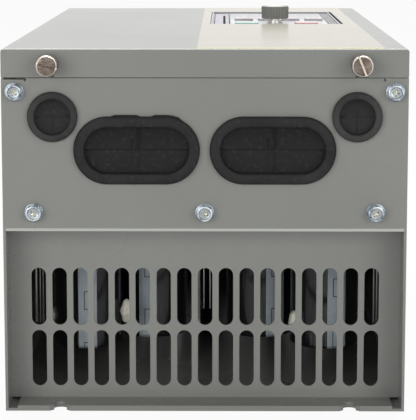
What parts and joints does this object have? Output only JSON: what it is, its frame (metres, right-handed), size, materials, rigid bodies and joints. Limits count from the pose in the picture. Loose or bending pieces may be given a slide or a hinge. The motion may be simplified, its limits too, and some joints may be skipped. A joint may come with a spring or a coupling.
{
  "type": "variable frequency drive",
  "caption": "Wall-mounting motor drive in a folded steel case with a hinged cover, keypad with knob, rubber cable grommets, slotted air inlet, capacitors, heat sink and exhaust fans.",
  "frame": {"origin": "centre of the wall face, on the plane of the wall", "axes": "+X across the case, +Y along it from the cable end to the fan end (up when it hangs on a wall), +Z away from the wall through the cover"},
  "size_m": [0.22, 0.4804, 0.2119],
  "materials": {
    "aged_nickel": "aged nickel",
    "aluminium": "extruded",
    "black_plastic": "moulded",
    "board_green": "solder resist",
    "brass": "turned",
    "capacitor_sleeve": "shrunk sleeve",
    "case_paint": "satin light structure",
    "copper": "tinned bar",
    "cover_film": "satin printed film",
    "dark_rubber": "matte",
    "grey_plastic": "moulded",
    "grey_rubber": "matte",
    "key_green": "moulded",
    "key_grey": "moulded",
    "key_red": "moulded",
    "pad_plastic": "moulded",
    "pad_white": "printed film",
    "silicone": "satin",
    "terminal_green": "moulded",
    "window_red": "tinted",
    "zinc_plate": "bright zinc"
  },
  "bodies": {
    "case": {"chassis": "case_paint", "lower_grille": "case_paint", "fan_panel": "case_paint", "upper_end_panel": "case_paint", "deck_plate": "zinc_plate", "front_rail": "case_paint", "thumb_nuts": "zinc_plate", "gland_plate": "case_paint", "gland_plate_screws": "zinc_plate", "round_grommet_left": "grey_rubber", "round_grommet_right": "grey_rubber", "oblong_grommet_left": "dark_rubber", "oblong_grommet_right": "dark_rubber", "heat_sink": "aluminium", "heat_sink_screws": "zinc_plate", "rectifier_module": "black_plastic", "inverter_module": "black_plastic", "bus_capacitor_1": "capacitor_sleeve", "bus_capacitor_2": "capacitor_sleeve", "bus_capacitor_3": "capacitor_sleeve", "bus_capacitor_4": "capacitor_sleeve", "capacitor_clamp": "black_plastic", "adhesive_dabs": "silicone", "bus_bars": "copper", "power_board": "board_green", "power_terminal_block": "black_plastic", "power_terminal_screws": "zinc_plate", "control_board": "board_green", "control_terminal_block": "terminal_green", "board_standoffs": "brass", "board_screws": "zinc_plate", "current_sensors": "black_plastic", "soft_charge_relay": "black_plastic", "control_transformer": "copper", "earth_studs": "brass", "fan_frame_left": "black_plastic", "fan_frame_right": "black_plastic", "fan_guards": "zinc_plate", "hinge_case_leaves": "zinc_plate", "hinge_pins": "zinc_plate"},
    "cover": {"front_cover": "case_paint", "cover_overlay": "cover_film", "keypad_housing": "pad_plastic", "keypad_membrane": "pad_white", "display_window": "window_red", "keypad_board": "board_green", "potentiometer": "zinc_plate", "hinge_cover_leaves": "zinc_plate"},
    "knob": {"knob": "grey_plastic", "knob_shaft": "zinc_plate"},
    "thumb_screw_left": {"thumb_screw_left": "aged_nickel"},
    "thumb_screw_right": {"thumb_screw_right": "aged_nickel"},
    "fan_rotor_left": {"fan_rotor_left": "black_plastic"},
    "fan_rotor_right": {"fan_rotor_right": "black_plastic"},
    "run_key": {"run_key": "key_green"},
    "stop_key": {"stop_key": "key_red"},
    "program_key": {"program_key": "key_grey"},
    "enter_key": {"enter_key": "key_grey"},
    "up_key": {"up_key": "key_grey"},
    "down_key": {"down_key": "key_grey"}
  },
  "joints": [
    {"name": "cover_hinge", "type": "hinge", "parent": "case", "child": "cover", "pos_m": [0, 0.2342, 0.1845], "axis": [-1, 0, 0], "range_deg": [0, 75]},
    {"name": "thumb_screw_left_turn", "type": "hinge", "parent": "case", "child": "thumb_screw_left", "pos_m": [-0.0842, -0.235, 0.1914], "axis": [0, -1, 0], "continuous": true},
    {"name": "fan_left_spin", "type": "hinge", "parent": "case", "child": "fan_rotor_left", "pos_m": [-0.05, 0.196, 0.05105], "axis": [0, 1, 0], "continuous": true},
    {"name": "thumb_screw_right_turn", "type": "hinge", "parent": "case", "child": "thumb_screw_right", "pos_m": [0.0842, -0.235, 0.1914], "axis": [0, -1, 0], "continuous": true},
    {"name": "fan_right_spin", "type": "hinge", "parent": "case", "child": "fan_rotor_right", "pos_m": [0.05, 0.196, 0.05105], "axis": [0, 1, 0], "continuous": true},
    {"name": "knob_turn", "type": "hinge", "parent": "cover", "child": "knob", "pos_m": [0.0446, 0.037, 0.2023], "axis": [0, 0, 1], "range_deg": [-150, 150]},
    {"name": "run_key_press", "type": "slide", "parent": "cover", "child": "run_key", "axis": [0, 0, -1], "range_m": [0, 0.001], "stiffness_N_per_m": 800, "springref_m": -0.001},
    {"name": "stop_key_press", "type": "slide", "parent": "cover", "child": "stop_key", "axis": [0, 0, -1], "range_m": [0, 0.001], "stiffness_N_per_m": 800, "springref_m": -0.001},
    {"name": "program_key_press", "type": "slide", "parent": "cover", "child": "program_key", "axis": [0, 0, -1], "range_m": [0, 0.001], "stiffness_N_per_m": 800, "springref_m": -0.001},
    {"name": "enter_key_press", "type": "slide", "parent": "cover", "child": "enter_key", "axis": [0, 0, -1], "range_m": [0, 0.001], "stiffness_N_per_m": 800, "springref_m": -0.001},
    {"name": "up_key_press", "type": "slide", "parent": "cover", "child": "up_key", "axis": [0, 0, -1], "range_m": [0, 0.001], "stiffness_N_per_m": 800, "springref_m": -0.001},
    {"name": "down_key_press", "type": "slide", "parent": "cover", "child": "down_key", "axis": [0, 0, -1], "range_m": [0, 0.001], "stiffness_N_per_m": 800, "springref_m": -0.001}
  ]
}
